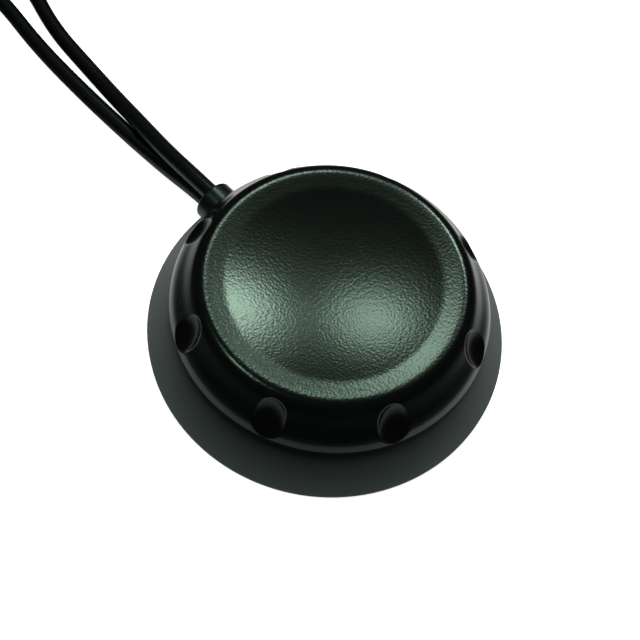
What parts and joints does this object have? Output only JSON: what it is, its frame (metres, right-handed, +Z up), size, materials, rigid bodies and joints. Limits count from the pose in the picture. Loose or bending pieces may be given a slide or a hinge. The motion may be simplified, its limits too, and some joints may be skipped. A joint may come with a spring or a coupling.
{
  "type": "puck antenna with two coaxial leads",
  "caption": "Round low antenna with a dished, scooped-rim cover on a flared magnetic base, with two long coaxial leads that end in screw-on plugs.",
  "frame": {"origin": "centre of the foot pad's underside, on the surface that the antenna stands on", "axes": "+Z up through the dish; the cables leave towards -X; the plugs point along +X"},
  "size_m": [0.1575, 0.0993, 0.0178],
  "materials": {
    "cover_plastic": "fine spark-eroded grain, semi-gloss black",
    "skirt_plastic": "smooth satin black",
    "boss_plastic": "fine grain, satin black",
    "cable_jacket": "smooth satin black jacket",
    "tie_strap": "woven black strap",
    "pad_rubber": "matt black foam rubber",
    "seal_rubber": "dull red-brown silicone",
    "screw_steel": "zinc-plated",
    "magnet_nickel": "bright nickel plate",
    "board_laminate": "green solder mask",
    "adhesive_pad": "pale adhesive pad",
    "patch_ceramic": "fired buff ceramic",
    "silver_layer": "fired silver layer",
    "strip_brass": "rolled brass strip",
    "can_tin": "tinned sheet",
    "chip_resin": "moulded black resin",
    "capacitor_ceramic": "tan ceramic",
    "braid_copper": "tinned copper braid",
    "white_insulation": "translucent white",
    "core_copper": "bare copper",
    "solder": "bright solder",
    "plug_gold": "gold-plated brass",
    "ring_bronze": "spring bronze",
    "shrink_sleeve": "black shrunk sleeve"
  },
  "bodies": {
    "root": {"base_housing": "skirt_plastic", "top_cover": "cover_plastic", "sealing_ring": "seal_rubber", "foot_pad": "pad_rubber", "cover_screws": "screw_steel", "base_magnets": "magnet_nickel", "circuit_board": "board_laminate", "board_screws": "screw_steel", "patch_adhesive": "adhesive_pad", "patch_ceramic": "patch_ceramic", "patch_electrode": "silver_layer", "feed_pin": "plug_gold", "phone_strip": "strip_brass", "shield_can": "can_tin", "amplifier_chip": "chip_resin", "filter_chip": "chip_resin", "chip_capacitors": "capacitor_ceramic", "cable_grommet": "boss_plastic", "solder_joints": "solder", "gps_cable_shield": "braid_copper", "gps_cable_dielectric": "white_insulation", "gps_cable_core": "core_copper", "gps_cable_lead": "cable_jacket", "gps_cable_coil": "cable_jacket", "gps_coil_ties": "tie_strap", "gps_cable_tail": "cable_jacket", "gps_plug_boot": "shrink_sleeve", "gps_plug_ferrule": "plug_gold", "gps_plug_body": "plug_gold", "gps_plug_snap_ring": "ring_bronze", "gps_plug_gasket": "seal_rubber", "gps_plug_insulator": "white_insulation", "gps_plug_pin": "plug_gold", "gsm_cable_shield": "braid_copper", "gsm_cable_dielectric": "white_insulation", "gsm_cable_core": "core_copper", "gsm_cable_lead": "cable_jacket", "gsm_cable_coil": "cable_jacket", "gsm_coil_ties": "tie_strap", "gsm_cable_tail": "cable_jacket", "gsm_plug_boot": "shrink_sleeve", "gsm_plug_ferrule": "plug_gold", "gsm_plug_body": "plug_gold", "gsm_plug_snap_ring": "ring_bronze", "gsm_plug_gasket": "seal_rubber", "gsm_plug_insulator": "white_insulation", "gsm_plug_pin": "plug_gold"},
    "gps_nut": {"gps_plug_nut": "plug_gold"},
    "gsm_nut": {"gsm_plug_nut": "plug_gold"}
  },
  "joints": [
    {"name": "gps_nut_spin", "type": "hinge", "parent": "root", "child": "gps_nut", "pos_m": [-0.0625, -0.0423, 0.00465], "axis": [1, 0, 0], "continuous": true},
    {"name": "gsm_nut_spin", "type": "hinge", "parent": "root", "child": "gsm_nut", "pos_m": [-0.0625, 0.049, 0.00465], "axis": [1, 0, 0], "continuous": true}
  ]
}
